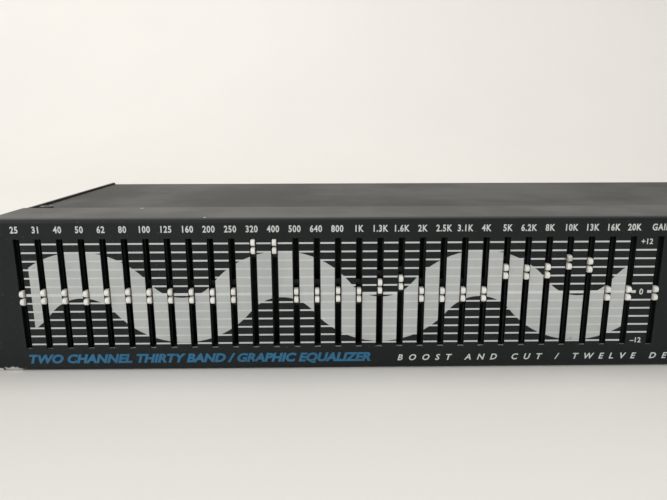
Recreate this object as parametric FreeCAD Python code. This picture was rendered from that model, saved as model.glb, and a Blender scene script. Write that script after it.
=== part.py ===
import FreeCAD, Part
import os
from FreeCAD import Vector

# Two-channel, thirty-band graphic equalizer in a 1U rack case.
# Millimetres. X runs to the right, Y from the front to the back, Z up.
# The origin is at the middle of the whole outline, on the surface it stands on.
# "Depth" below is measured back from the front face of the panel.

# Rack case
rack_width = 482.6
panel_height = 44.0
chassis_width = 431.8
chassis_depth = 98.6
panel_sheet = 1.2
shell_sheet = 1.0
bend_radius = 1.3
front_flange = 20.5
ear_step = 1.0
cover_drop = 1.2
side_drop = 0.6
fit_gap = 0.2
shell_flange = 10.0
cover_lip = 6.8
sheet_front = 1.6
shelf_front = 24.0
shelf_back = 94.0
end_flange_bottom = 4.0
rear_flange_top = 39.0
front_flange_top = 40.0
front_flange_width = 4.0
cover_edge_radius = 0.8

# Rack slots
rack_hole_spacing_x = 465.1
rack_hole_spacing_z = 31.75
rack_slot_height = 7.0
rack_slot_length = 10.5

# Fader columns
band_pitch = 5.83
bands = 30
gain_gap = 7.62
first_fader_inset = 8.8
slot_width = 1.7
slot_bottom = 6.7
slot_top = 38.4
fader_middle = 22.55
fader_zero = 22.1
fader_travel = 13.55

# Fader parts
knob_width = 1.15
knob_height = 4.1
knob_proud = 1.0
prong_gap = 0.5
prong_root = 1.0
frame_width = 5.0
frame_front = 2.2
frame_back = 9.2
frame_bottom = 3.8
frame_top = 41.4
frame_wall = 0.4
frame_slot = 1.4
neck_width = 1.0
neck_height = 3.0
carriage_width = 3.6
carriage_height = 7.5
carriage_front = 3.2
carriage_back = 7.2
knob_back = 1.9

# Control column beside each gain fader
column_offset = 19.4
button_width = 8.0
button_height = 5.0
button_proud = 3.0
button_travel = 2.0
button_z = 15.0
button_back = 2.4
button_stem_back = 6.4
switch_front = 5.0
eq_led_z = 25.0
clip_led_z = 34.0
led_radius = 1.5
led_proud = 1.2

# Boards
board_sheet = 1.6
board_z = 7.2
board_half = 205.0
board_front = 14.0
board_back = 90.0
standoff_radius = 3.0
screw_radius = 1.5
screw_head_radius = 2.75
screw_head = 1.2
screw_recess = 0.6
screw_clearance = 0.1
cover_screw_inset = 3.8
cover_screw_depth = 29.5
cover_screw_radius = 2.1
cover_screw_head = 0.5
rear_screw_inset = 6.0
rear_screw_heights = (8.0, 30.0)
board_screw_columns = (-200.0, 0.0, 200.0)
board_screw_rows = (22.0, 66.0)

# Parts on the main board
component_pitch = 12.0
components_per_row = 15
chip_width = 6.4
chip_length = 9.6
chip_height = 3.6
chip_rows = (26.0, 42.0)
small_can_row = 58.5
small_can_radius = 2.5
small_can_height = 7.0
film_width = 7.2
film_front = 20.0
film_back = 22.6
film_height = 6.5
large_can_columns = (150.0, 162.0, 174.0)
large_can_row = 74.0
large_can_radius = 5.0
large_can_height = 20.0
regulator_columns = (128.0, 139.0)
regulator_width = 10.0
regulator_front = 68.0
regulator_back = 72.5
regulator_height = 15.5
header_offsets = (-72.0, -24.0, 24.0, 72.0)
header_width = 40.6
header_height = 2.5

# Rear connectors
jack_z = 16.8
jack_radius = 3.25
jack_bushing = 4.7
jack_out = 5.0
jack_nut_radius = 6.6
jack_nut = 2.0
jack_body_width = 16.0
jack_body_front = 72.0
jack_body_rise = 8.0
jack_bore_front = 75.0
phono_radius = 4.15
phono_out = 8.5
phono_z = 14.8
phono_body_width = 10.0
phono_body_front = 84.0
phono_body_rise = 6.0
phono_bore = 1.7
inlet_x = 192.0
inlet_z = 14.3
inlet_width = 9.0
inlet_front = 83.0
inlet_rise = 5.5
inlet_bore = 3.2
inlet_bore_front = 88.0
inlet_pin = 1.0
channel_middles = (-108.0, 108.0)
jack_offsets = (-42.0, -18.0)
phono_offsets = (14.0, 32.0)

# How far above the zero mark a fader stands when it is pushed right up
top_lift = fader_middle + fader_travel - fader_zero

# Where the faders rest above the zero mark, by band
rest_lifts = {
    "25": -0.3,
    "50": -0.3,
    "80": 0.15,
    "200": -0.1,
    "320": top_lift,
    "400": top_lift,
    "800": 0.15,
    "1k3": 2.45,
    "1k6": 3.55,
    "2k5": -0.1,
    "5k": 6.5,
    "6k2": 6.3,
    "8k": 6.6,
    "10k": 9.1,
    "13k": 8.2,
}

band_names = (
    "25 31 40 50 62 80 100 125 160 200 250 320 400 500 640 "
    "800 1k 1k3 1k6 2k 2k5 3k1 4k 5k 6k2 8k 10k 13k 16k 20k"
).split()
bank_size = 6

rear_panel_front = chassis_depth - shell_sheet - panel_sheet
rear_panel_back = chassis_depth - shell_sheet
front_y = (button_proud - rear_panel_back - phono_out) / 2
cover_top = panel_height - cover_drop
cover_bottom = cover_top - shell_sheet
inner_half = chassis_width / 2 - shell_sheet
lid_half = inner_half - fit_gap
pan_bottom = panel_sheet
pan_top = pan_bottom + shell_sheet
board_top = board_z + board_sheet
left_first = -chassis_width / 2 + first_fader_inset
right_first = first_fader_inset
gain_offset = band_pitch * (bands - 1) + gain_gap
column_left = left_first + gain_offset + column_offset
column_right = right_first + gain_offset + column_offset
columns = (column_left, column_right)


def box(x0, x1, d0, d1, z0, z1):
    corner = Vector(x0, front_y + d0, z0)
    return Part.makeBox(x1 - x0, d1 - d0, z1 - z0, corner)


def block(x, width, d0, d1, z0, z1):
    return box(x - width / 2, x + width / 2, d0, d1, z0, z1)


def rod(x, z, d0, d1, radius):
    base = Vector(x, front_y + d0, z)
    return Part.makeCylinder(radius, d1 - d0, base, Vector(0, 1, 0))


def post(x, d, z0, z1, radius):
    base = Vector(x, front_y + d, z0)
    return Part.makeCylinder(radius, z1 - z0, base, Vector(0, 0, 1))


def mirrored(shape):
    return shape.mirror(Vector(0, 0, 0), Vector(1, 0, 0))


def edges_along_x(shape, depth):
    found = []
    for edge in shape.Edges:
        bounds = edge.BoundBox
        long_enough = bounds.XLength > 1.0
        at_depth = abs(bounds.YMin - front_y - depth) < 0.001
        flat = bounds.YLength < 0.001 and bounds.ZLength < 0.001
        if long_enough and at_depth and flat:
            found.append(edge)
    return found


def save(name, solids):
    shape = solids[0] if len(solids) == 1 else Part.makeCompound(solids)
    shape.exportStep("parts/" + name + ".step")


# Fader positions

def fader_columns(first):
    places = [first + i * band_pitch for i in range(bands)]
    places.append(places[-1] + gain_gap)
    return places


def all_faders():
    return fader_columns(left_first) + fader_columns(right_first)


# Sheet metal

def rack_slots():
    slots = []
    middle = panel_height / 2
    half_round = (rack_slot_length - rack_slot_height) / 2
    for side in (-1, 1):
        for level in (-1, 1):
            x = side * rack_hole_spacing_x / 2
            z = middle + level * rack_hole_spacing_z / 2
            radius = rack_slot_height / 2
            slot = block(x, 2 * half_round, -1, 3, z - radius, z + radius)
            for end in (-half_round, half_round):
                slot = slot.fuse(rod(x + end, z, -1, 3, radius))
            slots.append(slot)
    return slots


def panel_holes():
    holes = rack_slots()
    for x in all_faders():
        holes.append(block(x, slot_width, -1, 3, slot_bottom, slot_top))
    clearance = 0.3
    for x in columns:
        low = button_z - button_height / 2 - clearance
        high = button_z + button_height / 2 + clearance
        holes.append(block(x, button_width + 2 * clearance, -1, 3, low, high))
        for z in (eq_led_z, clip_led_z):
            holes.append(rod(x, z, -1, 3, led_radius + 0.1))
    return holes


def front_panel():
    half = rack_width / 2
    outer = box(-lid_half, lid_half, 0, front_flange, 0, panel_height)
    outer = outer.makeFillet(bend_radius, edges_along_x(outer, 0))
    t = panel_sheet
    inner = box(-half, half, t, front_flange + 5, t, panel_height - t)
    inner = inner.makeFillet(bend_radius - t, edges_along_x(inner, t))
    panel = outer.cut(inner)
    for side in (-1, 1):
        x0, x1 = sorted((side * (lid_half - 1), side * half))
        panel = panel.fuse(box(x0, x1, 0, t, ear_step, panel_height - ear_step))
    return panel.removeSplitter().cut(panel_holes())


def left_side_plate():
    outer = -chassis_width / 2
    inner = outer + shell_sheet
    shelf = inner + shell_flange
    front = panel_sheet
    plate = box(outer, inner, front, chassis_depth, 0, panel_height - side_drop)
    rear_front = rear_panel_front - shell_sheet
    end_low = end_flange_bottom
    top = box(inner, shelf, shelf_front, shelf_back, cover_bottom - shell_sheet, cover_bottom)
    low = box(inner, shelf, shelf_front, shelf_back, pan_bottom - shell_sheet, pan_bottom)
    back = box(inner, shelf, rear_front, rear_panel_front, end_low, rear_flange_top)
    tab = inner + front_flange_width
    face = box(inner, tab, front, front + shell_sheet, end_low, front_flange_top)
    plate = plate.fuse([top, low, back, face])
    return plate.removeSplitter().cut([s for s in screw_holes() if s.BoundBox.XMax < 0])


def cover_screw_places():
    x = chassis_width / 2 - cover_screw_inset
    return [(side * x, cover_screw_depth) for side in (-1, 1)]


def rear_screw_places():
    x = chassis_width / 2 - rear_screw_inset
    return [(side * x, z) for side in (-1, 1) for z in rear_screw_heights]


def board_screw_places():
    return [(x, d) for x in board_screw_columns for d in board_screw_rows]


def screw_holes():
    radius = screw_radius + screw_clearance
    holes = [post(x, d, 36, 44, radius) for x, d in cover_screw_places()]
    holes += [rod(x, z, 90, 99, radius) for x, z in rear_screw_places()]
    return holes


def top_cover():
    sheet = box(-lid_half, lid_half, sheet_front, chassis_depth, cover_bottom, cover_top)
    lip_low = cover_bottom - cover_lip + shell_sheet
    lip = box(-lid_half, lid_half, rear_panel_back, chassis_depth, lip_low, cover_top)
    cover = sheet.fuse(lip).removeSplitter()
    edge = edges_along_x(cover, chassis_depth)
    top_edge = [e for e in edge if e.BoundBox.ZMin > cover_top - 0.001]
    cover = cover.makeFillet(cover_edge_radius, top_edge)
    return cover.cut(screw_holes())


def bottom_pan():
    return box(-lid_half, lid_half, sheet_front, rear_panel_front, pan_bottom, pan_top)


def rear_panel():
    top = cover_bottom - fit_gap
    panel = box(-lid_half, lid_half, rear_panel_front, rear_panel_back, pan_bottom, top)
    holes = [s for s in screw_holes() if s.BoundBox.ZMax < 36]
    for x in jack_places():
        holes.append(rod(x, jack_z, 90, 99, jack_bushing + 0.1))
    for x in phono_places():
        holes.append(rod(x, phono_z, 90, 99, phono_radius + 0.1))
    inlet_low = board_top - fit_gap
    inlet_high = inlet_z + inlet_rise + fit_gap
    holes.append(block(inlet_x, inlet_width + fit_gap, 90, 99, inlet_low, inlet_high))
    return panel.cut(holes)


# Faders

def pot_frame(x):
    body = block(x, frame_width, frame_front, frame_back, frame_bottom, frame_top)
    w = frame_wall
    room = block(
        x, frame_width - 2 * w,
        frame_front + w, frame_back - w,
        frame_bottom + w, frame_top - w)
    reach = fader_travel + neck_height / 2 + 0.5
    mouth = block(
        x, frame_slot, frame_front - 1, frame_front + 1,
        fader_middle - reach, fader_middle + reach)
    return body.cut([room, mouth])


def knob_prong(low, high):
    back = prong_root + 0.2
    prong = block(0, knob_width, -knob_proud, back, low, high)
    prong = prong.makeFillet(0.48 * (high - low), edges_along_x(prong, -knob_proud))
    rims = []
    for edge in prong.Edges:
        bounds = edge.BoundBox
        if bounds.XLength < 0.001 and bounds.YMin < front_y + back - 0.1:
            rims.append(edge)
    return prong.makeFillet(0.2, rims)


def knob_blade():
    half = knob_height / 2
    gap = prong_gap / 2
    root = block(0, knob_width, prong_root, knob_back, -half, half)
    return root.fuse([knob_prong(-half, -gap), knob_prong(gap, half)]).removeSplitter()


def slider_shape():
    blade = knob_blade()
    half = neck_height / 2
    neck = block(0, neck_width, knob_back - 0.2, carriage_front + 0.5, -half, half)
    half = carriage_height / 2
    carriage = block(0, carriage_width, carriage_front, carriage_back, -half, half)
    return blade.fuse([neck, carriage]).removeSplitter()


def placed(shape, x, z):
    moved = shape.copy()
    moved.translate(Vector(x, 0, z))
    return moved


def save_sliders():
    slider = slider_shape()
    left = fader_columns(left_first)
    right = fader_columns(right_first)
    for name, x in zip(band_names + ["gain"], left):
        z = fader_zero + rest_lifts.get(name, 0)
        save("left_slider_" + name, [placed(slider, x, z)])
    for start in range(0, bands, bank_size):
        last = start + bank_size - 1
        name = "right_sliders_" + band_names[start] + "_to_" + band_names[last]
        bank = [placed(slider, x, fader_zero) for x in right[start:last + 1]]
        save(name, bank)
    save("right_slider_gain", [placed(slider, right[-1], fader_zero)])


# Control column

def button_shape(x):
    low = button_z - button_height / 2
    high = button_z + button_height / 2
    cap = block(x, button_width, -button_proud, button_back, low, high)
    rims = edges_along_x(cap, -button_proud)
    uprights = []
    for edge in cap.Edges:
        bounds = edge.BoundBox
        if bounds.ZLength > 1 and bounds.YMax < front_y:
            uprights.append(edge)
    cap = cap.makeFillet(0.5, rims + uprights)
    stem = block(x, 3.0, button_back - 0.5, button_stem_back, button_z - 1.5, button_z + 1.5)
    return cap.fuse(stem).removeSplitter()


def switch_shape(x):
    well_back = button_stem_back + button_travel + 0.4
    body = block(x, 8.0, switch_front, frame_back, button_z - 4, button_z + 4)
    well = block(x, 3.6, switch_front - 1, well_back, button_z - 1.8, button_z + 1.8)
    return body.cut(well)


def led_shape(x, z):
    lens = rod(x, z, -led_proud + led_radius, 4.2, led_radius)
    centre = Vector(x, front_y - led_proud + led_radius, z)
    lens = lens.fuse(Part.makeSphere(led_radius, centre))
    rim = rod(x, z, 3.2, 4.2, led_radius + 0.35)
    lead = block(x - 0.8, 0.5, 4.0, frame_back, z - 0.25, z + 0.25)
    other = block(x + 0.8, 0.5, 4.0, frame_back, z - 0.25, z + 0.25)
    return lens.fuse([rim, lead, other]).removeSplitter()


# Boards and their parts

def slider_boards():
    found = []
    for first, column in zip((left_first, right_first), columns):
        found.append(box(
            first - 3.4, column + 5.2,
            frame_back, frame_back + board_sheet, frame_bottom, 41.0))
    return found


def main_board():
    board = box(-board_half, board_half, board_front, board_back, board_z, board_top)
    radius = screw_radius + screw_clearance
    holes = [post(x, d, 6, 10, radius) for x, d in board_screw_places()]
    return board.cut(holes)


def standoffs():
    found = []
    for x, d in board_screw_places():
        tube = post(x, d, pan_top, board_z, standoff_radius)
        found.append(tube.cut(post(x, d, pan_top + 0.6, board_z + 1, screw_radius)))
    return found


def pin_headers():
    found = []
    back = frame_back + board_sheet
    for middle in channel_middles:
        for offset in header_offsets:
            found.append(block(
                middle + offset, header_width, back, board_front + header_height,
                board_top, board_top + header_height))
    return found


def board_components():
    found = []
    first = -component_pitch * (components_per_row - 1) / 2
    small_top = board_top + small_can_height
    film_top = board_top + film_height
    for middle in channel_middles:
        for i in range(components_per_row):
            x = middle + first + component_pitch * i
            for depth in chip_rows:
                found.append(block(
                    x, chip_width, depth, depth + chip_length,
                    board_top, board_top + chip_height))
            found.append(post(x, small_can_row, board_top, small_top, small_can_radius))
            found.append(block(x, film_width, film_front, film_back, board_top, film_top))
    large_top = board_top + large_can_height
    for x in large_can_columns:
        found.append(post(x, large_can_row, board_top, large_top, large_can_radius))
    for x in regulator_columns:
        found.append(block(
            x, regulator_width, regulator_front, regulator_back,
            board_top, board_top + regulator_height))
    return found


# Screws

def screw(x, d, seat, length, radius, height):
    shank = post(x, d, seat - length, seat + 0.5 * height, screw_radius)
    head = post(x, d, seat, seat + height, radius)
    rim = [e for e in head.Edges if e.BoundBox.ZMin > seat + height - 0.001]
    head = head.makeFillet(screw_recess * height, rim)
    low = seat + (1 - screw_recess) * height
    half = 0.55 * radius
    recess = block(x, 2 * half, d - 0.35, d + 0.35, low, seat + 3)
    cross = block(x, 0.7, d - half, d + half, low, seat + 3)
    return head.fuse(shank).cut([recess, cross]).removeSplitter()


def pan_screw(x, d, seat, length):
    return screw(x, d, seat, length, screw_head_radius, screw_head)


def cover_screw(x, d):
    return screw(x, d, cover_top, 5.0, cover_screw_radius, cover_screw_head)


def laid_back(upright, x, z):
    turned = upright.copy()
    turned.rotate(Vector(0, 0, 0), Vector(1, 0, 0), -90)
    turned.translate(Vector(x, front_y + rear_panel_back, z))
    return turned


def case_screws():
    found = []
    for x, d in cover_screw_places():
        found.append(cover_screw(x, d))
    flat = pan_screw(0, -front_y, 0, 5.0)
    for x, z in rear_screw_places():
        found.append(laid_back(flat, x, z))
    for x, d in board_screw_places():
        found.append(pan_screw(x, d, board_top, 4.5))
    return found


# Rear connectors

def jack_places():
    return [m + offset for m in channel_middles for offset in jack_offsets]


def phono_places():
    return [m + offset for m in channel_middles for offset in phono_offsets]


def jack_shape(x):
    end = rear_panel_back + jack_out
    top = jack_z + jack_body_rise
    body = block(x, jack_body_width, jack_body_front, rear_panel_front, board_top, top)
    bushing = rod(x, jack_z, rear_panel_front - 1, end, jack_bushing)
    rim = [e for e in bushing.Edges if e.BoundBox.YMin > front_y + end - 0.001]
    bushing = bushing.makeChamfer(0.4, rim)
    whole = body.fuse(bushing).removeSplitter()
    return whole.cut(rod(x, jack_z, jack_bore_front, 110, jack_radius))


def nut_shape(x):
    wire = Part.makePolygon(hexagon(x, jack_z, jack_nut_radius, rear_panel_back))
    nut = Part.Face(wire).extrude(Vector(0, jack_nut, 0))
    return nut.cut(rod(x, jack_z, 90, 110, jack_bushing))


def hexagon(x, z, radius, depth):
    first = Vector(radius, 0, 0)
    spin = FreeCAD.Rotation(Vector(0, 1, 0), 60)
    points = [first]
    for _ in range(6):
        points.append(spin.multVec(points[-1]))
    middle = Vector(x, front_y + depth, z)
    points[-1] = first
    return [middle.add(p) for p in points]


def phono_shape(x):
    top = phono_z + phono_body_rise
    body = block(x, phono_body_width, phono_body_front, rear_panel_front, board_top, top)
    shell = rod(x, phono_z, rear_panel_front - 1, rear_panel_back + phono_out, phono_radius)
    whole = body.fuse(shell).removeSplitter()
    return whole.cut(rod(x, phono_z, rear_panel_back - 1, 110, phono_bore))


def power_inlet():
    end = rear_panel_back + 0.6
    body = block(inlet_x, inlet_width, inlet_front, end, board_top, inlet_z + inlet_rise)
    barrel = rod(inlet_x, inlet_z, inlet_bore_front, 110, inlet_bore)
    pin = rod(inlet_x, inlet_z, inlet_bore_front - 1, rear_panel_back, inlet_pin)
    return body.cut(barrel).fuse(pin).removeSplitter()


def main():
    os.makedirs("parts", exist_ok=True)
    left_plate = left_side_plate()
    save("front_panel", [front_panel()])
    save("left_side_plate", [left_plate])
    save("right_side_plate", [mirrored(left_plate)])
    save("top_cover", [top_cover()])
    save("bottom_pan", [bottom_pan()])
    save("rear_panel", [rear_panel()])
    save("left_pot_frames", [pot_frame(x) for x in fader_columns(left_first)])
    save("right_pot_frames", [pot_frame(x) for x in fader_columns(right_first)])
    save("slider_boards", slider_boards())
    save("main_board", [main_board()])
    save("board_components", board_components())
    save("pin_headers", pin_headers())
    save("standoffs", standoffs())
    save("line_jacks", [jack_shape(x) for x in jack_places()])
    save("jack_nuts", [nut_shape(x) for x in jack_places()])
    save("phono_jacks", [phono_shape(x) for x in phono_places()])
    save("power_inlet", [power_inlet()])
    save("left_eq_button", [button_shape(column_left)])
    save("right_eq_button", [button_shape(column_right)])
    save("button_switches", [switch_shape(x) for x in columns])
    save("clip_leds", [led_shape(x, clip_led_z) for x in columns])
    save("eq_leds", [led_shape(x, eq_led_z) for x in columns])
    save("case_screws", case_screws())
    save_sliders()


main()
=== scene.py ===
import math

import bmesh
import bpy
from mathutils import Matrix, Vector


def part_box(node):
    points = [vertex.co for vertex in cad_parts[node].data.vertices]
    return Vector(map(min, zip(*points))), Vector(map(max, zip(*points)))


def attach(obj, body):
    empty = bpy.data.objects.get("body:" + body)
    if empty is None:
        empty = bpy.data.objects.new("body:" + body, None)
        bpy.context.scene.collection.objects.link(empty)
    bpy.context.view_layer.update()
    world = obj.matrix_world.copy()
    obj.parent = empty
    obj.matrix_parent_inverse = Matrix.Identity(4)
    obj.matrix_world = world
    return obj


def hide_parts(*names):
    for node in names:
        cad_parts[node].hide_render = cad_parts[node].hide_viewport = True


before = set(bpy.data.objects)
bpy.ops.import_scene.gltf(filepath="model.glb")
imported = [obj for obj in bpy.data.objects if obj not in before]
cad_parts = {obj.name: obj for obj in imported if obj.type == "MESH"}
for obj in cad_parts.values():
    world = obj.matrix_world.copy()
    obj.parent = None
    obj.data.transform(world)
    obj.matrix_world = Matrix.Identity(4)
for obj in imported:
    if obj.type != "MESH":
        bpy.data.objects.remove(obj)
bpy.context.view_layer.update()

# Two-channel graphic equalizer: the case, faders and sockets come from the frame,
# and this file adds the printing, the socket inserts, the finishes and the light.
mm = 0.001


def middleOf(node):
    low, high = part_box(node)
    return (low + high) / 2


panelLow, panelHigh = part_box("front_panel")
frontY = panelLow.y
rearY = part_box("rear_panel")[1].y
firstX = middleOf("left_slider_25").x
pitch = (middleOf("left_slider_20k").x - firstX) / 29
gainX = middleOf("left_slider_gain").x
channelStep = middleOf("right_slider_gain").x - gainX
leftColumnX = middleOf("left_eq_button").x
slotXs = [firstX + pitch * i for i in range(30)] + [gainX]

bandNames = (
    "25 31 40 50 62 80 100 125 160 200 250 320 400 500 640 "
    "800 1K 1.3K 1.6K 2K 2.5K 3.1K 4K 5K 6.2K 8K 10K 13K 16K 20K"
).split() + ["GAIN"]


def clearSelection():
    active = bpy.context.view_layer.objects.active
    if active and active.mode != "OBJECT":
        bpy.ops.object.mode_set(mode="OBJECT")
    bpy.ops.object.select_all(action="DESELECT")


def pick(piece):
    clearSelection()
    piece.select_set(True)
    bpy.context.view_layer.objects.active = piece


def settle(piece):
    pick(piece)
    bpy.ops.object.transform_apply(location=True, rotation=True, scale=True)


def applyModifiers(piece):
    pick(piece)
    for modifier in list(piece.modifiers):
        bpy.ops.object.modifier_apply(modifier=modifier.name)


def editAll(piece):
    pick(piece)
    bpy.ops.object.mode_set(mode="EDIT")
    bpy.ops.mesh.select_all(action="SELECT")


def editFaces(piece, wanted):
    pick(piece)
    bpy.ops.object.mode_set(mode="EDIT")
    bpy.ops.mesh.select_mode(type="FACE")
    mesh = bmesh.from_edit_mesh(piece.data)
    for face in mesh.faces:
        face.select_set(wanted(face))
    bmesh.update_edit_mesh(piece.data)


def joined(name, parts):
    clearSelection()
    for part in parts:
        part.select_set(True)
    bpy.context.view_layer.objects.active = parts[0]
    if len(parts) > 1:
        bpy.ops.object.join()
    piece = bpy.context.object
    piece.name = name
    piece.data.name = name
    return piece


def repeat(piece, count, step):
    modifier = piece.modifiers.new("repeat", "ARRAY")
    modifier.count = count
    modifier.use_relative_offset = False
    modifier.use_constant_offset = True
    modifier.constant_offset_displace = step


def thicken(piece, thickness):
    # ink stands on the paint and its back sinks a hair into it
    modifier = piece.modifiers.new("ink", "SOLIDIFY")
    modifier.thickness = thickness + ink["sunk"]
    modifier.offset = -1


def finishPiece(piece, body, material):
    settle(piece)
    piece.data.materials.clear()
    piece.data.materials.append(material)
    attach(piece, body)
    return piece


def dress(node, material):
    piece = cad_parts[node]
    if not piece.material_slots:
        piece.data.materials.append(material)
    for slot in piece.material_slots:
        slot.material = material


def newGroup(name, inputs, outputs):
    group = bpy.data.node_groups.new(name, "ShaderNodeTree")
    for label, kind, value in inputs:
        socket = group.interface.new_socket(name=label, in_out="INPUT", socket_type=kind)
        socket.default_value = value
    for label, kind in outputs:
        group.interface.new_socket(name=label, in_out="OUTPUT", socket_type=kind)
    return group, group.nodes.new("NodeGroupInput"), group.nodes.new("NodeGroupOutput")


def mathNode(tree, operation, first, second=None, third=None):
    node = tree.nodes.new("ShaderNodeMath")
    node.operation = operation
    for socket, value in zip(node.inputs, (first, second, third)):
        if value is None:
            continue
        if isinstance(value, (int, float)):
            socket.default_value = value
        else:
            tree.links.new(value, socket)
    return node.outputs[0]


def ramp(tree, value, low, high, start=0.0, end=1.0):
    node = tree.nodes.new("ShaderNodeMapRange")
    node.interpolation_type = "SMOOTHSTEP"
    for name, number in (("From Min", low), ("From Max", high), ("To Min", start), ("To Max", end)):
        if isinstance(number, (int, float)):
            node.inputs[name].default_value = number
        else:
            tree.links.new(number, node.inputs[name])
    tree.links.new(value, node.inputs["Value"])
    return node.outputs["Result"]


def noise(tree, scale, detail=3.0, stretch=(1, 1, 1), roughness=0.5):
    place = tree.nodes.new("ShaderNodeTexCoord")
    mapping = tree.nodes.new("ShaderNodeMapping")
    mapping.inputs["Scale"].default_value = stretch
    texture = tree.nodes.new("ShaderNodeTexNoise")
    texture.inputs["Detail"].default_value = detail
    texture.inputs["Roughness"].default_value = roughness
    if isinstance(scale, (int, float)):
        texture.inputs["Scale"].default_value = scale
    else:
        tree.links.new(scale, texture.inputs["Scale"])
    tree.links.new(place.outputs["Object"], mapping.inputs["Vector"])
    tree.links.new(mapping.outputs["Vector"], texture.inputs["Vector"])
    return texture.outputs["Fac"]


def makeGrain():
    # fine tooth of a surface, and a slow drift across it
    group, given, result = newGroup(
        "grain",
        [("Scale", "NodeSocketFloat", 3000.0), ("Drift Scale", "NodeSocketFloat", 30.0)],
        [("Tooth", "NodeSocketFloat"), ("Drift", "NodeSocketFloat")])
    tooth = noise(group, given.outputs["Scale"], 2.0)
    drift = noise(group, given.outputs["Drift Scale"], 4.0, roughness=0.6)
    group.links.new(ramp(group, tooth, 0.25, 0.75), result.inputs["Tooth"])
    group.links.new(ramp(group, drift, 0.3, 0.7), result.inputs["Drift"])
    return group


def makeDust():
    # specks and fibres of dust, as a mask
    group, given, result = newGroup(
        "dust",
        [("Scale", "NodeSocketFloat", 900.0), ("Amount", "NodeSocketFloat", 0.3)],
        [("Mask", "NodeSocketFloat")])
    specks = noise(group, given.outputs["Scale"], 1.0)
    patches = noise(group, 22.0, 3.0)
    gathered = mathNode(group, "MULTIPLY", patches, 0.22)
    threshold = mathNode(group, "SUBTRACT", 0.86, gathered)  # specks lie thicker in patches
    limit = mathNode(group, "ADD", threshold, 0.05)
    mask = ramp(group, specks, threshold, limit)
    shown = mathNode(group, "MULTIPLY", mask, given.outputs["Amount"])
    group.links.new(shown, result.inputs["Mask"])
    return group


def makeSpot():
    # one worn or dirty spot with a ragged edge
    group, given, result = newGroup(
        "spot",
        [("Centre", "NodeSocketVector", (0, 0, 0)), ("Reach", "NodeSocketVector", (1, 1, 1)),
         ("Ragged", "NodeSocketFloat", 0.5), ("Grain Scale", "NodeSocketFloat", 2500.0)],
        [("Mask", "NodeSocketFloat")])
    place = group.nodes.new("ShaderNodeTexCoord")
    away = group.nodes.new("ShaderNodeVectorMath")
    away.operation = "SUBTRACT"
    group.links.new(place.outputs["Object"], away.inputs[0])
    group.links.new(given.outputs["Centre"], away.inputs[1])
    share = group.nodes.new("ShaderNodeVectorMath")
    share.operation = "DIVIDE"
    group.links.new(away.outputs[0], share.inputs[0])
    group.links.new(given.outputs["Reach"], share.inputs[1])
    length = group.nodes.new("ShaderNodeVectorMath")
    length.operation = "LENGTH"
    group.links.new(share.outputs[0], length.inputs[0])
    rough = mathNode(group, "SUBTRACT", noise(group, given.outputs["Grain Scale"], 3.0), 0.5)
    strength = mathNode(group, "MULTIPLY", given.outputs["Ragged"], 4.0)
    rough = mathNode(group, "MULTIPLY", rough, strength)
    edge = mathNode(group, "ADD", length.outputs["Value"], rough)
    group.links.new(ramp(group, edge, 0.7, 1.1, 1.0, 0.0), result.inputs["Mask"])
    return group


def makeScuffs():
    # hairline rubs that run along the case
    group, given, result = newGroup(
        "scuffs",
        [("Amount", "NodeSocketFloat", 0.3)],
        [("Mask", "NodeSocketFloat")])
    lines = noise(group, 900.0, 2.0, (0.03, 1.0, 1.0))
    area = noise(group, 14.0, 2.0)
    hairs = ramp(group, lines, 0.66, 0.74)
    rubbed = ramp(group, area, 0.48, 0.68)
    mask = mathNode(group, "MULTIPLY", hairs, rubbed)
    shown = mathNode(group, "MULTIPLY", mask, given.outputs["Amount"])
    group.links.new(shown, result.inputs["Mask"])
    return group


grainGroup = makeGrain()
dustGroup = makeDust()
spotGroup = makeSpot()
scuffGroup = makeScuffs()
print("shader groups ready")


def newMaterial(name):
    material = bpy.data.materials.new(name)
    material.use_nodes = True
    shader = material.node_tree.nodes["Principled BSDF"]
    return material, material.node_tree, shader


def useGroup(tree, group, **values):
    node = tree.nodes.new("ShaderNodeGroup")
    node.node_tree = group
    for name, value in values.items():
        node.inputs[name.replace("_", " ")].default_value = value
    return node


def blendColour(tree, factor, first, second):
    node = tree.nodes.new("ShaderNodeMix")
    node.data_type = "RGBA"
    sockets = (node.inputs[0], node.inputs[6], node.inputs[7])  # the factor and the two colours
    for socket, value in zip(sockets, (factor, first, second)):
        if isinstance(value, (int, float)):
            socket.default_value = value
        elif isinstance(value, tuple):
            socket.default_value = (*value, 1.0)
        else:
            tree.links.new(value, socket)
    return node.outputs[2]


def bump(tree, shader, height, strength, distance):
    node = tree.nodes.new("ShaderNodeBump")
    node.inputs["Strength"].default_value = strength
    node.inputs["Distance"].default_value = distance
    tree.links.new(height, node.inputs["Height"])
    tree.links.new(node.outputs["Normal"], shader.inputs["Normal"])


def spotMask(tree, centre, reach, ragged=0.4, grainScale=2500.0):
    return useGroup(
        tree, spotGroup, Centre=centre, Reach=reach, Ragged=ragged, Grain_Scale=grainScale
    ).outputs["Mask"]


def anyOf(tree, masks):
    total = masks[0]
    for mask in masks[1:]:
        total = mathNode(tree, "MAXIMUM", total, mask)
    return total


def facePoint(x, z):
    return (firstX + x * mm, frontY, z * mm)


def objectAxis(tree, axis):
    place = tree.nodes.new("ShaderNodeTexCoord")
    parts = tree.nodes.new("ShaderNodeSeparateXYZ")
    tree.links.new(place.outputs["Object"], parts.inputs[0])
    return parts.outputs[axis]


def facingUp(tree):
    surface = tree.nodes.new("ShaderNodeNewGeometry")
    parts = tree.nodes.new("ShaderNodeSeparateXYZ")
    tree.links.new(surface.outputs["Normal"], parts.inputs[0])
    return ramp(tree, parts.outputs["Z"], 0.5, 0.98)


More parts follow.
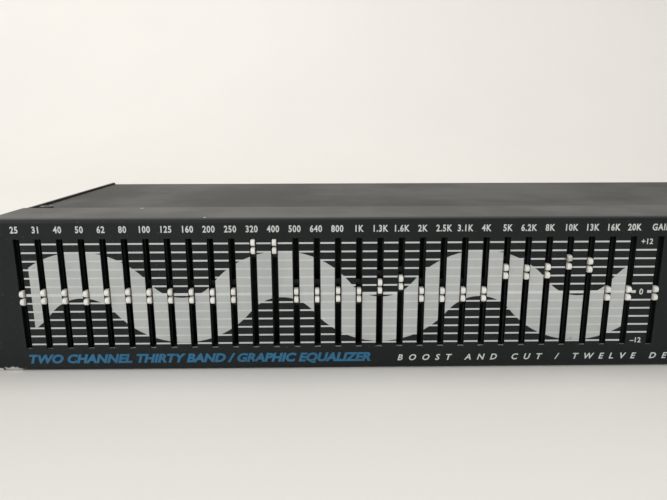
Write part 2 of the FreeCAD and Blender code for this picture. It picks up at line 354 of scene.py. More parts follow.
def painted(name, look, paleSpots=()):
    # baked paint over steel: tooth, drift, dust, hairline scuffs, a pale film on upward faces that is
    # settled dust and painted sheen, and pale spots: chips worn to the metal, paler lower corners and
    # painted glints on the slot ends
    material, tree, shader = newMaterial(name)
    grain = useGroup(tree, grainGroup, Scale=look["grainScale"], Drift_Scale=look["driftScale"])
    dust = useGroup(tree, dustGroup, Scale=look["dustScale"], Amount=look["dust"])
    scuffs = useGroup(tree, scuffGroup, Amount=look["scuffs"])
    colour = blendColour(tree, grain.outputs["Drift"], look["dark"], look["light"])
    # upward faces lightened by a pale film: partly settled dust, partly painted sheen where the tops
    # catch the light
    sheenAndDustFilm = mathNode(tree, "MULTIPLY", facingUp(tree), look["upwardSheenAndDust"])
    colour = blendColour(tree, sheenAndDustFilm, colour, look["dustAndSheenColour"])
    colour = blendColour(tree, scuffs.outputs["Mask"], colour, look["scuffColour"])
    colour = blendColour(tree, dust.outputs["Mask"], colour, look["dustAndSheenColour"])
    rough = ramp(tree, grain.outputs["Drift"], 0.0, 1.0, look["roughLow"], look["roughHigh"])
    # pale spots: chips worn to the metal, paler patches at the lower corners, and a painted glint on
    # the slots' bottom end walls
    if paleSpots:
        paleSpotMask = anyOf(tree, [spotMask(tree, *spot) for spot in paleSpots])
        colour = blendColour(tree, paleSpotMask, colour, look["paleSpotColour"])
    tree.links.new(colour, shader.inputs["Base Color"])
    tree.links.new(rough, shader.inputs["Roughness"])
    shader.inputs["Specular IOR Level"].default_value = look["specular"]
    bump(tree, shader, grain.outputs["Tooth"], look["tooth"], look["toothDepth"])
    return material


# the upward-face amount lightens the tops with settled dust and painted sheen
paintLook = {
    "grainScale": 2600.0, "driftScale": 24.0, "dustScale": 1700.0, "dust": 0.2, "scuffs": 0.3,
    "dark": (0.0046, 0.0072, 0.0076), "light": (0.0078, 0.0110, 0.0114), "upwardSheenAndDust": 0.17,
    "scuffColour": (0.05, 0.052, 0.05), "dustAndSheenColour": (0.24, 0.235, 0.22),
    "paleSpotColour": (0.50, 0.50, 0.49), "roughLow": 0.40, "roughHigh": 0.50,
    "specular": 0.25, "tooth": 0.25, "toothDepth": 0.00002,
}
coverLook = dict(
    paintLook, grainScale=1800.0, driftScale=18.0, dark=(0.009, 0.0095, 0.0092),
    light=(0.013, 0.0132, 0.0130), upwardSheenAndDust=0.015, specular=0.22, roughLow=0.42, roughHigh=0.52,
    tooth=0.5, toothDepth=0.00004)

# places are right of the first slot, behind the face and above the floor, and the two chips are on
# the top; each spot also has its reach, how ragged it is, and how fine its edge;
# the corner spots are paler patches at the two lower corners, the chips are worn to the metal, and
# the slot-end spots are a painted glint on the slots' bottom end walls
panelMarks = {
    "corner": (-5.6 * mm, 0.6 * mm, 0.35 * mm), "cornerReach": (3.6 * mm, 2.2 * mm, 1.0 * mm),
    "leftCornerEdge": (0.35, 900.0), "rightCornerEdge": (0.45, 1200.0),
    "chip": (51.1 * mm, 1.5 * mm), "chipReach": (0.45 * mm, 0.5 * mm, 0.4 * mm),
    "chipEdge": (0.3, 2000.0),
    "flangeChip": (28.7 * mm, 18.9 * mm), "flangeChipReach": (0.6 * mm, 0.55 * mm, 0.4 * mm),
    "flangeChipEdge": (0.35, 1800.0),
    "slotGlintUp": 6.7 * mm, "slotGlintBack": 0.6 * mm, "slotGlintReach": (104 * mm, 0.5 * mm, 0.16 * mm),
    "slotGlintEdge": (0.3, 900.0),
}


def panelPaint():
    markTable = panelMarks
    top = panelHigh.z
    right, back, up = markTable["corner"]
    spots = [
        ((firstX + right, frontY + back, up), markTable["cornerReach"], *markTable["leftCornerEdge"]),
        ((-firstX - right, frontY + back, up), markTable["cornerReach"], *markTable["rightCornerEdge"]),
    ]
    for chip in ("chip", "flangeChip"):
        right, back = markTable[chip]
        spots.append((
            (firstX + right, frontY + back, top), markTable[chip + "Reach"], *markTable[chip + "Edge"]))
    # painted glint: one pale band per channel over the slots' bottom end walls stands in for light
    # catching them
    channelMiddle = (firstX + gainX) / 2
    for middle in (channelMiddle, channelMiddle + channelStep):
        place = (middle, frontY + markTable["slotGlintBack"], markTable["slotGlintUp"])
        spots.append((place, markTable["slotGlintReach"], *markTable["slotGlintEdge"]))
    return painted("panelPaint", paintLook, spots)


def plastic(name, look):
    material, tree, shader = newMaterial(name)
    grain = useGroup(tree, grainGroup, Scale=look["grainScale"], Drift_Scale=look["driftScale"])
    dust = useGroup(tree, dustGroup, Scale=look["grimeScale"], Amount=look["grime"])
    colour = blendColour(tree, grain.outputs["Drift"], look["dark"], look["light"])
    colour = blendColour(tree, dust.outputs["Mask"], colour, look["grimeColour"])
    for centre, reach, strength in look.get("stains", ()):
        stain = mathNode(tree, "MULTIPLY", spotMask(tree, centre, reach), strength)
        colour = blendColour(tree, stain, colour, look["grimeColour"])
    # painted shade: the parts of the piece that lie deeper than the given depth are blended to near
    # black, as shade inside the slot
    if "slotShadeFrom" in look:
        depth = objectAxis(tree, "Y")
        start, blend = look["slotShadeFrom"], look["slotShadeBlend"]
        inSlotShade = ramp(tree, depth, start - blend, start + blend)
        colour = blendColour(tree, inSlotShade, colour, look["slotShadeColour"])
    tree.links.new(colour, shader.inputs["Base Color"])
    rough = ramp(tree, grain.outputs["Tooth"], 0.0, 1.0, look["roughLow"], look["roughHigh"])
    tree.links.new(rough, shader.inputs["Roughness"])
    shader.inputs["Subsurface Weight"].default_value = look.get("soft", 0.0)
    shader.inputs["Subsurface Scale"].default_value = look["softDepth"]
    shader.inputs["Transmission Weight"].default_value = look.get("clear", 0.0)
    bump(tree, shader, grain.outputs["Tooth"], look["tooth"], look["toothDepth"])
    return material


plasticLook = {
    "grainScale": 2200.0, "driftScale": 140.0, "grimeScale": 1300.0, "grime": 0.2,
    "dark": (0.74, 0.735, 0.68), "light": (0.86, 0.855, 0.81), "grimeColour": (0.26, 0.23, 0.18),
    "roughLow": 0.34, "roughHigh": 0.46, "tooth": 0.2, "toothDepth": 0.00002,
    "softDepth": 0.0006,
}


def metal(name, look):
    material, tree, shader = newMaterial(name)
    grain = useGroup(tree, grainGroup, Scale=look["grainScale"], Drift_Scale=look["driftScale"])
    scuffs = useGroup(tree, scuffGroup, Amount=look["scuffs"])
    colour = blendColour(tree, grain.outputs["Drift"], look["dark"], look["light"])
    colour = blendColour(tree, scuffs.outputs["Mask"], colour, look["scuffColour"])
    tree.links.new(colour, shader.inputs["Base Color"])
    rough = ramp(tree, grain.outputs["Tooth"], 0.0, 1.0, look["roughLow"], look["roughHigh"])
    tree.links.new(rough, shader.inputs["Roughness"])
    shader.inputs["Metallic"].default_value = look["metallic"]
    bump(tree, shader, grain.outputs["Tooth"], look["tooth"], look["toothDepth"])
    return material


metalLook = {
    "grainScale": 1500.0, "driftScale": 90.0, "scuffs": 0.4,
    "dark": (0.50, 0.49, 0.46), "light": (0.68, 0.67, 0.64), "scuffColour": (0.35, 0.34, 0.32),
    "roughLow": 0.28, "roughHigh": 0.42, "metallic": 1.0, "tooth": 0.15, "toothDepth": 0.00002,
}


def inkMaterial(name, look, stains=()):
    # screen-printed ink: thin in places, faintly mottled, dirty where it is handled
    material, tree, shader = newMaterial(name)
    grain = useGroup(tree, grainGroup, Scale=look["grainScale"], Drift_Scale=look["driftScale"])
    dust = useGroup(tree, dustGroup, Scale=look["speckScale"], Amount=look["specks"])
    colour = blendColour(tree, grain.outputs["Drift"], look["dark"], look["light"])
    colour = blendColour(tree, dust.outputs["Mask"], colour, look["speckColour"])
    for centre, reach, strength, ragged in stains:
        spot = spotMask(tree, centre, reach, ragged, look["stainGrain"])
        mask = mathNode(tree, "MULTIPLY", spot, strength)
        colour = blendColour(tree, mask, colour, look["stainColour"])
    tree.links.new(colour, shader.inputs["Base Color"])
    rough = ramp(tree, grain.outputs["Tooth"], 0.0, 1.0, look["roughLow"], look["roughHigh"])
    tree.links.new(rough, shader.inputs["Roughness"])
    bump(tree, shader, grain.outputs["Tooth"], look["tooth"], look["toothDepth"])
    return material


# on the printed face: place, reach, strength and how ragged
inkStains = [
    (facePoint(147.5, 33.2), (5.0 * mm, 3.0 * mm, 1.0 * mm), 0.75, 0.5),
    (facePoint(147.0, 30.6), (2.6 * mm, 3.0 * mm, 0.5 * mm), 0.5, 0.3),
    (facePoint(73.0, 13.0), (1.1 * mm, 3.0 * mm, 0.6 * mm), 0.8, 0.5),
    (facePoint(154.0, 8.8), (0.8 * mm, 3.0 * mm, 0.4 * mm), 0.4, 0.5),
]
inkLook = {
    "grainScale": 2400.0, "driftScale": 60.0, "specks": 0.35, "speckScale": 1500.0,
    "stainGrain": 1400.0, "roughLow": 0.42, "roughHigh": 0.58, "tooth": 0.15, "toothDepth": 0.00001,
    "dark": (0.41, 0.425, 0.415), "light": (0.47, 0.485, 0.475),
    "speckColour": (0.12, 0.11, 0.10), "stainColour": (0.16, 0.145, 0.125),
}

materials = {
    "panelPaint": panelPaint(),
    "coverPaint": painted("coverPaint", coverLook),
    "greyInk": inkMaterial("greyInk", inkLook, inkStains),
    "lineInk": inkMaterial("lineInk", dict(
        inkLook, dark=(0.50, 0.52, 0.52), light=(0.58, 0.60, 0.60)), inkStains[:2]),
    "whiteInk": inkMaterial("whiteInk", dict(
        inkLook, dark=(0.54, 0.56, 0.555), light=(0.62, 0.64, 0.635), specks=0.12)),
    "blueInk": inkMaterial("blueInk", dict(
        inkLook, dark=(0.010, 0.112, 0.225), light=(0.016, 0.145, 0.290), specks=0.1)),
    # the knob's parts inside the slot carry painted shade
    "knobPlastic": plastic("knobPlastic", dict(
        plasticLook, soft=0.08, slotShadeFrom=frontY + 0.95 * mm, slotShadeBlend=0.1 * mm,
        slotShadeColour=(0.008, 0.008, 0.008),
        stains=[(facePoint(151.6, 32.2), (1.2 * mm, 2.0 * mm, 1.1 * mm), 0.55)])),
    "buttonPlastic": plastic("buttonPlastic", dict(plasticLook, driftScale=60.0)),
    "blackNylon": plastic("blackNylon", dict(
        plasticLook, dark=(0.016, 0.016, 0.017), light=(0.026, 0.026, 0.027),
        grimeColour=(0.16, 0.15, 0.13))),
    "componentBlack": plastic("componentBlack", dict(
        plasticLook, dark=(0.02, 0.02, 0.022), light=(0.035, 0.035, 0.037),
        grimeColour=(0.1, 0.1, 0.1))),
    "boardGreen": plastic("boardGreen", dict(
        plasticLook, dark=(0.012, 0.075, 0.03), light=(0.02, 0.12, 0.05),
        grimeColour=(0.25, 0.22, 0.12), grimeScale=700.0)),
    "whiteInsert": plastic("whiteInsert", dict(plasticLook, light=(0.8, 0.8, 0.78))),
    "redInsert": plastic("redInsert", dict(
        plasticLook, dark=(0.36, 0.012, 0.01), light=(0.5, 0.02, 0.015))),
    "redLens": plastic("redLens", dict(
        plasticLook, dark=(0.35, 0.01, 0.01), light=(0.5, 0.02, 0.02), clear=0.5,
        grime=0.05, roughLow=0.08, roughHigh=0.14)),
    "greenLens": plastic("greenLens", dict(
        plasticLook, dark=(0.03, 0.22, 0.03), light=(0.06, 0.36, 0.05), clear=0.5,
        grime=0.05, roughLow=0.08, roughHigh=0.14)),
    "darkSteel": metal("darkSteel", dict(
        metalLook, dark=(0.012, 0.013, 0.013), light=(0.022, 0.023, 0.022),
        scuffColour=(0.05, 0.05, 0.05), metallic=0.3, roughLow=0.5, roughHigh=0.65)),
    "blackScrew": metal("blackScrew", dict(
        metalLook, dark=(0.018, 0.018, 0.018), light=(0.035, 0.035, 0.035),
        scuffColour=(0.25, 0.25, 0.24), metallic=0.6)),
    "nickel": metal("nickel", metalLook),
}
print("materials ready:", len(materials))


ink = {
    "thin": 0.02 * mm, "line": 0.035 * mm, "sunk": 0.01 * mm,
    "slotHalf": 0.85 * mm, "margin": 0.1 * mm,
}
grid = {
    "zero": 22.57 * mm, "step": 2.409 * mm, "repeats": 29, "halfRows": 6,
    "thickness": 0.46 * mm, "zeroThickness": 0.78 * mm, "corner": 0.06 * mm,
    "shortDash": 1.25 * mm,
}


def inkPatch(name, left, right, z, height, corner, thickness):
    # a flat patch on the panel's face, seen from the front
    clearSelection()
    place = ((left + right) / 2, frontY - thickness, z)
    bpy.ops.mesh.primitive_plane_add(size=1, location=place, rotation=(math.pi / 2, 0, 0))
    patch = bpy.context.object
    patch.name = name
    patch.scale = (right - left, height, 1)
    settle(patch)
    editAll(patch)
    bpy.ops.mesh.bevel(offset=corner, segments=2, affect="VERTICES")
    bpy.ops.object.mode_set(mode="OBJECT")
    return patch


def bandDashes(name, height, rows, shift):
    # dashes between neighbouring slots: one row, repeated upwards
    gap = ink["slotHalf"] + ink["margin"]
    parts = []
    for row in rows:
        z = grid["zero"] + row * grid["step"]
        dash = inkPatch(name, firstX + shift + gap, firstX + shift + pitch - gap, z,
                        height, grid["corner"], ink["line"])
        repeat(dash, grid["repeats"], (pitch, 0, 0))
        applyModifiers(dash)
        parts.append(dash)
    return parts


def gainDashes(name, height, rows, shift):
    gap = ink["slotHalf"] + ink["margin"]
    parts = []
    for row in rows:
        z = grid["zero"] + row * grid["step"]
        parts.append(inkPatch(name, slotXs[-2] + shift + gap, gainX + shift - gap, z,
                              height, grid["corner"], ink["line"]))
    return parts


def zeroDashes(name, shift):
    gap = ink["slotHalf"] + ink["margin"]
    reach = grid["shortDash"]
    left = slotXs[-2] + shift + gap
    right = gainX + shift - gap
    return [
        inkPatch(name, start, start + reach, grid["zero"], grid["zeroThickness"],
                 grid["corner"], ink["line"])
        for start in (left, right - reach)
    ]


def printGrid(side, shift):
    outer = grid["halfRows"]
    others = [row for row in range(-outer, outer + 1) if row != 0]
    thin = bandDashes("thinLines", grid["thickness"], others, shift)
    inner = [row for row in others if abs(row) != outer]  # the outermost rows carry the decibel marks
    thin += gainDashes("gainLines", grid["thickness"], inner, shift)
    lines = joined("scale_lines_" + side, thin)
    thicken(lines, ink["line"])
    applyModifiers(lines)
    finishPiece(lines, "case", materials["lineInk"])
    zero = bandDashes("zeroLine", grid["zeroThickness"], [0], shift) + zeroDashes("zeroEnds", shift)
    line = joined("zero_line_" + side, zero)
    thicken(line, ink["line"])
    applyModifiers(line)
    finishPiece(line, "case", materials["whiteInk"])


wave = {
    "start": 2.4 * mm, "length": 166.4 * mm, "periods": 3, "middle": 21.6 * mm,
    "swing": 6.6 * mm, "width": 13.2 * mm, "lead": 0.3 * mm, "steps": 20,
}


def leadingEdge(mesh, direction):
    # the edge that stands furthest along the ribbon
    def along(edge):
        return sum(v.co.dot(direction) for v in edge.verts)
    return max(mesh.edges, key=along)


def printWave(side, shift):
    # a broad grey wave made of equal arcs, cut away where the slots run through it
    # the ribbon starts an arc early and ends an arc late, and both ends are trimmed upright
    quarter = wave["length"] / wave["periods"] / 4
    halfTurn = 2 * math.atan(wave["swing"] / quarter)
    radius = quarter / math.sin(halfTurn)
    low = firstX + shift + wave["start"]
    startX = low - 2 * quarter
    direction = Vector((math.cos(halfTurn), 0, -math.sin(halfTurn)))
    lead = wave["lead"]
    clearSelection()
    centre = Vector((startX, frontY - ink["thin"], wave["middle"])) - direction * lead / 2
    bpy.ops.mesh.primitive_plane_add(size=1, location=centre, rotation=(math.pi / 2, halfTurn, 0))
    ribbon = bpy.context.object
    ribbon.scale = (lead, wave["width"], 1)
    settle(ribbon)
    bpy.ops.object.mode_set(mode="EDIT")
    bpy.ops.mesh.select_mode(type="EDGE")
    bpy.ops.mesh.select_all(action="DESELECT")
    mesh = bmesh.from_edit_mesh(ribbon.data)
    mesh.edges.ensure_lookup_table()
    leadingEdge(mesh, direction).select_set(True)
    bmesh.update_edit_mesh(ribbon.data)
    for arc in range(2 * wave["periods"] + 2):
        sign = -1 if arc % 2 == 0 else 1
        middleX = startX + (2 * arc + 1) * quarter
        middleZ = wave["middle"] - sign * radius * math.cos(halfTurn)
        bpy.ops.mesh.spin(
            steps=wave["steps"], angle=sign * 2 * halfTurn,
            center=(middleX, frontY, middleZ), axis=(0, -1, 0))
    bpy.ops.object.mode_set(mode="OBJECT")
    trimEnds(ribbon, low, low + wave["length"])
    cutSlots(ribbon, shift)
    thicken(ribbon, ink["thin"])
    applyModifiers(ribbon)
    ribbon.name = "wave_band_" + side
    finishPiece(ribbon, "case", materials["greyInk"])


def cutSlots(piece, shift):
    gap = ink["slotHalf"] + ink["margin"]
    for x in slotXs:
        for edge in (x + shift - gap, x + shift + gap):
            editAll(piece)
            bpy.ops.mesh.bisect(plane_co=(edge, 0, 0), plane_no=(1, 0, 0))
    centres = [x + shift for x in slotXs]

    def inSlot(face):
        x = face.calc_center_median().x
        return any(abs(x - centre) < gap * 0.98 for centre in centres)

    editFaces(piece, inSlot)
    bpy.ops.mesh.delete(type="FACE")
    bpy.ops.object.mode_set(mode="OBJECT")


def trimEnds(piece, low, high):
    for x in (low, high):
        editAll(piece)
        bpy.ops.mesh.bisect(plane_co=(x, 0, 0), plane_no=(1, 0, 0))
    editFaces(piece, lambda face: not low < face.calc_center_median().x < high)
    bpy.ops.mesh.delete(type="FACE")
    bpy.ops.object.mode_set(mode="OBJECT")


letterLook = {
    "capHeight": 0.70, "depth": 0.5,
}


def lettering(words, x, z, height, stretch=1.0, weight=0.0, lean=0.0, spacing=1.0,
              align="CENTER", back=False):
    # a word printed on the panel's face, or on the rear panel
    clearSelection()
    bpy.ops.object.text_add()
    label = bpy.context.object
    label.data.body = words
    label.data.align_x = align
    label.data.offset = weight
    label.data.shear = lean
    label.data.space_character = spacing
    label.data.resolution_u = 3
    label.data.extrude = letterLook["depth"]
    bpy.ops.object.convert(target="MESH")
    label = bpy.context.object
    size = height / letterLook["capHeight"]
    thickness = ink["line"] + ink["sunk"]
    label.scale = (size * stretch, size, thickness)
    outward = -1 if not back else 1
    faceY = rearY if back else frontY
    centreY = faceY + outward * (ink["line"] - thickness / 2)
    label.rotation_euler = (math.pi / 2, 0, math.pi if back else 0)
    label.location = (x, centreY, z)
    settle(label)
    return label


bandType = {
    "height": 1.78 * mm, "base": 40.15 * mm, "stretch": 0.80, "spacing": 1.14, "weight": 0.027,
    "nudge": -0.22 * mm,
    "decibelX": 3.74 * mm, "decibelHeight": 1.5 * mm, "zeroHeight": 1.66 * mm,
    "decibelStretch": 0.95, "decibelWeight": 0.018, "decibelSpacing": 1.05,
}


def printNumbers(side, shift):
    parts = []
    for name, x in zip(bandNames, slotXs):
        parts.append(lettering(name, x + shift + bandType["nudge"], bandType["base"],
                               bandType["height"], bandType["stretch"], bandType["weight"],
                               spacing=bandType["spacing"]))
    middle = slotXs[-2] + bandType["decibelX"] + shift
    tall = bandType["zeroHeight"]
    small = bandType["decibelHeight"]
    for words, row, height in (("+12", 6, small), ("0", 0, tall), ("\u201312", -6, small)):
        z = grid["zero"] + row * grid["step"] - height / 2
        parts.append(lettering(words, middle, z, height, bandType["decibelStretch"],
                               bandType["decibelWeight"], spacing=bandType["decibelSpacing"]))
    numbers = joined("band_numbers_" + side, parts)
    finishPiece(numbers, "case", materials["whiteInk"])


captions = {
    "blue": "TWO CHANNEL THIRTY BAND / GRAPHIC EQUALIZER", "blueStart": -0.4 * mm,
    "blueLength": 97.2 * mm, "blueHeight": 2.45 * mm, "blueBase": 2.45 * mm,
    "white": "BOOST AND CUT / TWELVE DECIBELS", "whiteStart": 104.5 * mm,
    "whiteLength": 96.0 * mm, "whiteHeight": 1.74 * mm, "whiteBase": 2.47 * mm,
    "blueWeight": 0.045, "whiteWeight": 0.02, "whiteSpacing": 2.3, "lean": 0.25,
}


def fitLength(piece, start, length):
    xs = [v.co.x for v in piece.data.vertices]
    factor = length / (max(xs) - min(xs))
    pick(piece)
    piece.scale.x = factor
    piece.location.x = start - min(xs) * factor
    settle(piece)


def printCaptions(side, shift):
    blue = lettering(captions["blue"], 0, captions["blueBase"], captions["blueHeight"],
                     weight=captions["blueWeight"], lean=captions["lean"], align="LEFT")
    fitLength(blue, firstX + shift + captions["blueStart"], captions["blueLength"])
    blue.name = "caption_blue_" + side
    finishPiece(blue, "case", materials["blueInk"])
    white = lettering(captions["white"], 0, captions["whiteBase"], captions["whiteHeight"],
                      weight=captions["whiteWeight"], lean=captions["lean"],
                      spacing=captions["whiteSpacing"], align="LEFT")
    fitLength(white, firstX + shift + captions["whiteStart"], captions["whiteLength"])
    white.name = "caption_white_" + side
    finishPiece(white, "case", materials["whiteInk"])


# words over the lamps and under the button, with the base and height of each
controlWords = {
    "words": (
        ("CLIP", 37.2 * mm, 1.3 * mm), ("EQ ON", 28.0 * mm, 1.3 * mm), ("EQ", 9.2 * mm, 1.5 * mm)),
    "weight": 0.02,
}


def printControls(side, shift):
    parts = [
        lettering(word, leftColumnX + shift, base, height, weight=controlWords["weight"])
        for word, base, height in controlWords["words"]
    ]
    labels = joined("control_words_" + side, parts)
    finishPiece(labels, "case", materials["whiteInk"])


rearWords = {
    "small": 1.9 * mm, "large": 2.4 * mm, "weight": 0.02, "over": 26.2 * mm, "title": 32.2 * mm,
    "lower": 3 * mm, "jackIn": 8 * mm, "jackGap": 24 * mm, "phonoIn": 5 * mm, "phonoGap": 18 * mm,
}


def printRear():
    # from behind, the first channel's sockets stand on the right
    jackLow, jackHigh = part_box("line_jacks")
    phonoLow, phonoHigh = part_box("phono_jacks")
    jackIn, jackGap = rearWords["jackIn"], rearWords["jackGap"]
    phonoIn, phonoGap = rearWords["phonoIn"], rearWords["phonoGap"]
    small, large = rearWords["small"], rearWords["large"]
    over, title = rearWords["over"], rearWords["title"]
    lower = over - rearWords["lower"]
    words = [("POWER", middleOf("power_inlet").x, lower, small)]
    starts = (
        (jackLow.x + jackIn, phonoLow.x + phonoIn, "CHANNEL 1"),
        (jackHigh.x - jackIn - jackGap, phonoHigh.x - phonoIn - phonoGap, "CHANNEL 2"))
    for jackX, phonoX, channel in starts:
        words += [
            ("INPUT", jackX, over, small), ("OUTPUT", jackX + jackGap, over, small),
            ("IN", phonoX, lower, small), ("OUT", phonoX + phonoGap, lower, small),
            (channel, (jackX + phonoX + phonoGap) / 2, title, large)]
    parts = [
        lettering(word, x, z, height, weight=rearWords["weight"], back=True)
        for word, x, z, height in words
    ]
    finishPiece(joined("rear_words", parts), "case", materials["whiteInk"])


phono = {
    "outer": 4.15 * mm, "wall": 0.7 * mm, "out": 8.4 * mm, "washer": 5.3 * mm,
    "washerThick": 0.7 * mm, "bore": 1.65 * mm, "recess": 0.5 * mm, "deep": 6.0 * mm,
    "bodyInset": 5.0 * mm, "apart": 18.0 * mm, "sides": 32, "bodyEdge": 0.4 * mm,
    "shellBack": 0.05 * mm, "shellFloor": 1.2 * mm, "shellRim": 0.18 * mm,
    "washerWall": 1.0 * mm, "washerDish": 0.15 * mm, "washerRim": 0.15 * mm,
    "insertBack": 0.8 * mm, "insertGap": 0.03 * mm, "insertRim": 0.2 * mm, "smoothBelow": 40,
}


def tube(name, x, z, front, back, radius, wall, depth, rim):
    # a closed cup that opens to the rear: inset the end, push it in, and round the rim
    clearSelection()
    bpy.ops.mesh.primitive_cylinder_add(
        vertices=phono["sides"], radius=radius, depth=back - front,
        location=(x, (front + back) / 2, z), rotation=(-math.pi / 2, 0, 0))
    cup = bpy.context.object
    cup.name = name
    settle(cup)
    editFaces(cup, lambda face: face.normal.y > 0.9)
    bpy.ops.mesh.inset(thickness=wall)
    bpy.ops.mesh.extrude_region_move(TRANSFORM_OT_translate={"value": (0, -depth, 0)})
    bpy.ops.object.mode_set(mode="OBJECT")
    softenRims(cup, back, rim)
    return cup


def softenRims(piece, y, width):
    pick(piece)
    bpy.ops.object.mode_set(mode="EDIT")
    bpy.ops.mesh.select_mode(type="EDGE")
    mesh = bmesh.from_edit_mesh(piece.data)
    for edge in mesh.edges:
        onRim = all(abs(v.co.y - y) < 0.001 * mm for v in edge.verts)
        turns = onRim and len(edge.link_faces) == 2 and edge.calc_face_angle() > 1.0
        edge.select_set(turns)
    bmesh.update_edit_mesh(piece.data)
    bpy.ops.mesh.bevel(offset=width, segments=2, affect="EDGES")
    bpy.ops.object.mode_set(mode="OBJECT")


def block(name, low, high, edge):
    # a moulded box with softened edges
    clearSelection()
    bpy.ops.mesh.primitive_cube_add(size=1, location=[(a + b) / 2 for a, b in zip(low, high)])
    box = bpy.context.object
    box.name = name
    box.scale = [b - a for a, b in zip(low, high)]
    settle(box)
    editAll(box)
    bpy.ops.mesh.bevel(offset=edge, segments=2, affect="EDGES")
    bpy.ops.object.mode_set(mode="OBJECT")
    return box


def makePhonos():
    low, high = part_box("phono_jacks")
    z = (low.z + high.z) / 2
    end = rearY + phono["out"]
    inner = phono["outer"] - phono["wall"]
    inset = phono["bodyInset"]
    places = [low.x + inset, low.x + inset + phono["apart"],
              high.x - inset - phono["apart"], high.x - inset]
    shells, inserts, bodies = [], {"whiteInsert": [], "redInsert": []}, []
    for i, x in enumerate(places):
        shells.append(tube(
            "shell", x, z, rearY + phono["shellBack"], end, phono["outer"], phono["wall"],
            phono["out"] - phono["shellFloor"], phono["shellRim"]))
        shells.append(tube(
            "washer", x, z, rearY, rearY + phono["washerThick"], phono["washer"],
            phono["washerWall"], phono["washerDish"], phono["washerRim"]))
        colour = "redInsert" if i % 2 else "whiteInsert"
        inserts[colour].append(tube(
            "insert", x, z, rearY + phono["insertBack"], end - phono["recess"],
            inner - phono["insertGap"], inner - phono["bore"], phono["deep"], phono["insertRim"]))
        bodies.append(block(
            "body", (x - inset, low.y, low.z), (x + inset, rearY, high.z), phono["bodyEdge"]))
    pieces = [("phono_shells", shells, "plated_nut", "nickel"),
              ("phono_bodies", bodies, "jack_body", "blackNylon")]
    pieces += [("phono_" + colour, parts, "jack_body", colour) for colour, parts in inserts.items()]
    for name, parts, slot, finish in pieces:
        piece = joined(name, parts)
        finishPiece(piece, "case", materials[finish])
        pick(piece)
        bpy.ops.object.shade_smooth_by_angle(angle=math.radians(phono["smoothBelow"]))
        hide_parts("phono_jacks")


for side, shift in (("left", 0.0), ("right", channelStep)):
    printWave(side, shift)
    printGrid(side, shift)
    printNumbers(side, shift)
    printCaptions(side, shift)
    printControls(side, shift)
    print("printed the", side, "channel")
printRear()
makePhonos()
print("rear words and sockets made")


for node in ("left_side_plate", "right_side_plate", "top_cover", "bottom_pan", "rear_panel"):
    dress(node, materials["coverPaint"])
dress("front_panel", materials["panelPaint"])
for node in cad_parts:
    if node.startswith(("left_slider_", "right_slider")):
        dress(node, materials["knobPlastic"])
for node, finish in (
        ("left_pot_frames", "darkSteel"), ("right_pot_frames", "darkSteel"),
        ("slider_boards", "boardGreen"), ("main_board", "boardGreen"),
        ("board_components", "componentBlack"), ("pin_headers", "componentBlack"),
        ("standoffs", "nickel"), ("line_jacks", "blackNylon"), ("jack_nuts", "nickel"),
        ("phono_jacks", "nickel"), ("power_inlet", "blackNylon"),
        ("left_eq_button", "buttonPlastic"), ("right_eq_button", "buttonPlastic"),
        ("button_switches", "componentBlack"), ("clip_leds", "redLens"),
        ("eq_leds", "greenLens"), ("case_screws", "blackScrew")):
    dress(node, materials[finish])
print("frame nodes finished")


stage = {
    "front": -1.6, "bend": 0.42, "radius": 0.45, "height": 1.6, "half": 4.0,
    "colour": (0.82, 0.80, 0.765), "drift": 1.03, "rough": 0.6, "steps": 16,
}


def stagePaint():
    material, tree, shader = newMaterial("stagePaint")
    grain = useGroup(tree, grainGroup, Scale=400.0, Drift_Scale=3.0)
    base = stage["colour"]
    light = tuple(min(1.0, c * stage["drift"]) for c in base)
    colour = blendColour(tree, grain.outputs["Drift"], base, light)
    tree.links.new(colour, shader.inputs["Base Color"])
    shader.inputs["Roughness"].default_value = stage["rough"]
    return material


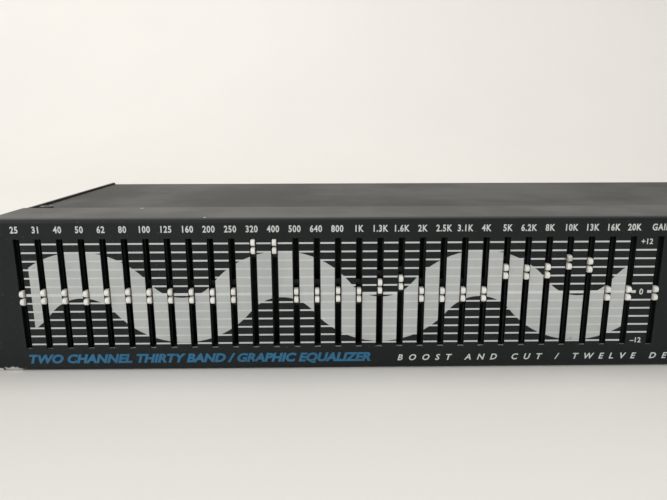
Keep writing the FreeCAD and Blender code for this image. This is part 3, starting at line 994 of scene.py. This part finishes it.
def makeStage():
    # a pale sweep: floor, curved corner and wall in one sheet
    clearSelection()
    bpy.ops.mesh.primitive_plane_add(size=1, location=(0, (stage["front"] + stage["bend"]) / 2, 0))
    sweep = bpy.context.object
    sweep.name = "paleSweep"
    sweep.scale = (2 * stage["half"], stage["bend"] - stage["front"], 1)
    settle(sweep)
    bpy.ops.object.mode_set(mode="EDIT")
    bpy.ops.mesh.select_mode(type="EDGE")
    bpy.ops.mesh.select_all(action="DESELECT")
    mesh = bmesh.from_edit_mesh(sweep.data)
    mesh.edges.ensure_lookup_table()
    leadingEdge(mesh, Vector((0, 1, 0))).select_set(True)
    bmesh.update_edit_mesh(sweep.data)
    bpy.ops.mesh.spin(
        steps=stage["steps"], angle=-math.pi / 2, center=(0, stage["bend"], stage["radius"]),
        axis=(1, 0, 0))
    bpy.ops.mesh.extrude_region_move(TRANSFORM_OT_translate={"value": (0, 0, stage["height"])})
    bpy.ops.object.mode_set(mode="OBJECT")
    bpy.ops.object.shade_smooth()
    sweep.data.materials.append(stagePaint())


lights = {
    "frontWindow": {"place": (-0.95, -1.35, 0.8), "aim": (-0.1, 0, 0.02), "size": (1.4, 1.0),
                    "power": 10, "colour": (0.98, 1, 1)},
    "wallWash": {"place": (-0.5, 0.15, 1.2), "aim": (-0.45, 0.8, 0.02), "size": (1.7, 0.6),
                 "power": 6, "colour": (1, 0.985, 0.965)},
}
room = {
    "colour": (1.0, 0.985, 0.96, 1), "strength": 0.62,
}


def makeLight(name, place, aim, size, power, colour):
    clearSelection()
    bpy.ops.object.light_add(type="AREA", location=place)
    lamp = bpy.context.object
    lamp.name = name
    lamp.data.shape = "RECTANGLE"
    lamp.data.size, lamp.data.size_y = size
    lamp.data.energy = power
    lamp.data.color = colour
    away = Vector(aim) - Vector(place)
    lamp.rotation_euler = away.to_track_quat("-Z", "Y").to_euler()


def makeWorld():
    world = bpy.data.worlds.new("softRoom")
    world.use_nodes = True
    background = world.node_tree.nodes["Background"]
    background.inputs["Color"].default_value = room["colour"]
    background.inputs["Strength"].default_value = room["strength"]
    bpy.context.scene.world = world


view = {
    "right": 83.9 * mm, "ahead": 152.8 * mm, "up": 69.7 * mm,
    "lens": 30.8, "sensor": 36, "down": 0.2231, "turn": 0.0154, "roll": 0.0021, "near": 0.01,
}


def makeCamera():
    clearSelection()
    place = (firstX + view["right"], frontY - view["ahead"], view["up"])
    turned = (math.pi / 2 - view["down"], view["roll"], -view["turn"])
    bpy.ops.object.camera_add(location=place, rotation=turned)
    camera = bpy.context.object
    camera.data.lens = view["lens"]
    camera.data.sensor_width = view["sensor"]
    camera.data.clip_start = view["near"]
    bpy.context.scene.camera = camera


makeStage()
makeWorld()
for name, settings in lights.items():
    makeLight(name, **settings)
makeCamera()
bpy.context.scene.view_settings.view_transform = "Standard"
print("stage, light and camera ready")
